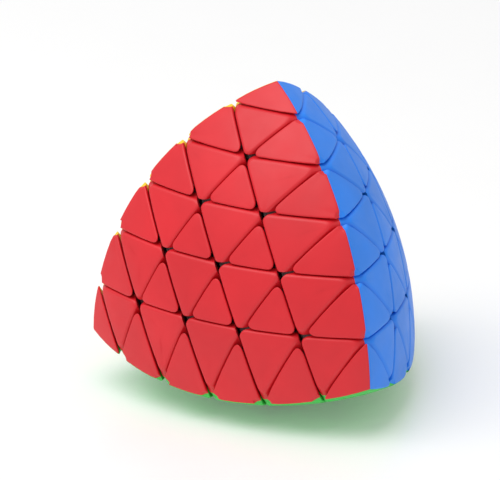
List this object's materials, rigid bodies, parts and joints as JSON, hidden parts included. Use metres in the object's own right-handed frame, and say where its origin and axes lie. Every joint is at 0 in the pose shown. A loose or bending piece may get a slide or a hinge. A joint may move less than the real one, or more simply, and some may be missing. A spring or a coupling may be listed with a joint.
{
  "type": "twisty puzzle",
  "caption": "Pyramid twisty puzzle with bulged faces of rounded triangular tiles; tips and corner rows turn about the corner axes on a spring-loaded core.",
  "frame": {"origin": "centre of the core, where the four turning axes meet, which is also the centroid", "axes": "+Z out through the top corner; the red face looks along -Y, the blue face to +X, the yellow face to -X and the green face down"},
  "size_m": [0.098, 0.097, 0.0966],
  "materials": {
    "red": "satin",
    "blue": "satin",
    "yellow": "satin",
    "green": "satin",
    "inner_plastic": "matte",
    "core_grey": "matte",
    "track_grey": "matte",
    "steel": "bright"
  },
  "bodies": {
    "middle": {"middle_green": "green", "middle_yellow": "yellow", "middle_red": "red", "middle_blue": "blue", "middle_feet": "inner_plastic", "core_spider": "core_grey", "track_ball_upper": "track_grey", "track_ball_lower": "track_grey", "post_screws": "steel", "post_springs": "steel", "post_washers": "steel"},
    "top_third_row": {"top_third_row_yellow": "yellow", "top_third_row_red": "red", "top_third_row_blue": "blue", "top_third_row_feet": "inner_plastic"},
    "top_second_row": {"top_second_row_yellow": "yellow", "top_second_row_red": "red", "top_second_row_blue": "blue", "top_second_row_feet": "inner_plastic"},
    "top_tip": {"top_tip_yellow": "yellow", "top_tip_red": "red", "top_tip_blue": "blue", "top_tip_plug": "inner_plastic"},
    "right_third_row": {"right_third_row_green": "green", "right_third_row_red": "red", "right_third_row_blue": "blue", "right_third_row_feet": "inner_plastic"},
    "right_second_row": {"right_second_row_green": "green", "right_second_row_red": "red", "right_second_row_blue": "blue", "right_second_row_feet": "inner_plastic"},
    "right_tip": {"right_tip_green": "green", "right_tip_red": "red", "right_tip_blue": "blue", "right_tip_plug": "inner_plastic"},
    "back_third_row": {"back_third_row_green": "green", "back_third_row_yellow": "yellow", "back_third_row_blue": "blue", "back_third_row_feet": "inner_plastic"},
    "back_second_row": {"back_second_row_green": "green", "back_second_row_yellow": "yellow", "back_second_row_blue": "blue", "back_second_row_feet": "inner_plastic"},
    "back_tip": {"back_tip_green": "green", "back_tip_yellow": "yellow", "back_tip_blue": "blue", "back_tip_plug": "inner_plastic"},
    "left_third_row": {"left_third_row_green": "green", "left_third_row_yellow": "yellow", "left_third_row_red": "red", "left_third_row_feet": "inner_plastic"},
    "left_second_row": {"left_second_row_green": "green", "left_second_row_yellow": "yellow", "left_second_row_red": "red", "left_second_row_feet": "inner_plastic"},
    "left_tip": {"left_tip_green": "green", "left_tip_yellow": "yellow", "left_tip_red": "red", "left_tip_plug": "inner_plastic"}
  },
  "joints": [
    {"name": "top_third_row_turn", "type": "hinge", "parent": "middle", "child": "top_third_row", "pos_m": [0, 0, 0], "axis": [0, 0, 1], "continuous": true},
    {"name": "top_second_row_turn", "type": "hinge", "parent": "top_third_row", "child": "top_second_row", "pos_m": [0, 0, 0], "axis": [0, 0, 1], "continuous": true},
    {"name": "top_tip_turn", "type": "hinge", "parent": "top_second_row", "child": "top_tip", "pos_m": [0, 0, 0], "axis": [0, 0, 1], "continuous": true},
    {"name": "right_third_row_turn", "type": "hinge", "parent": "middle", "child": "right_third_row", "pos_m": [0, 0, 0], "axis": [0.8165, -0.4714, -0.3333], "continuous": true},
    {"name": "right_second_row_turn", "type": "hinge", "parent": "right_third_row", "child": "right_second_row", "pos_m": [0, 0, 0], "axis": [0.8165, -0.4714, -0.3333], "continuous": true},
    {"name": "right_tip_turn", "type": "hinge", "parent": "right_second_row", "child": "right_tip", "pos_m": [0, 0, 0], "axis": [0.8165, -0.4714, -0.3333], "continuous": true},
    {"name": "back_third_row_turn", "type": "hinge", "parent": "middle", "child": "back_third_row", "pos_m": [0, 0, 0], "axis": [0, 0.9428, -0.3333], "continuous": true},
    {"name": "back_second_row_turn", "type": "hinge", "parent": "back_third_row", "child": "back_second_row", "pos_m": [0, 0, 0], "axis": [0, 0.9428, -0.3333], "continuous": true},
    {"name": "back_tip_turn", "type": "hinge", "parent": "back_second_row", "child": "back_tip", "pos_m": [0, 0, 0], "axis": [0, 0.9428, -0.3333], "continuous": true},
    {"name": "left_third_row_turn", "type": "hinge", "parent": "middle", "child": "left_third_row", "pos_m": [0, 0, 0], "axis": [-0.8165, -0.4714, -0.3333], "continuous": true},
    {"name": "left_second_row_turn", "type": "hinge", "parent": "left_third_row", "child": "left_second_row", "pos_m": [0, 0, 0], "axis": [-0.8165, -0.4714, -0.3333], "continuous": true},
    {"name": "left_tip_turn", "type": "hinge", "parent": "left_second_row", "child": "left_tip", "pos_m": [0, 0, 0], "axis": [-0.8165, -0.4714, -0.3333], "continuous": true}
  ]
}
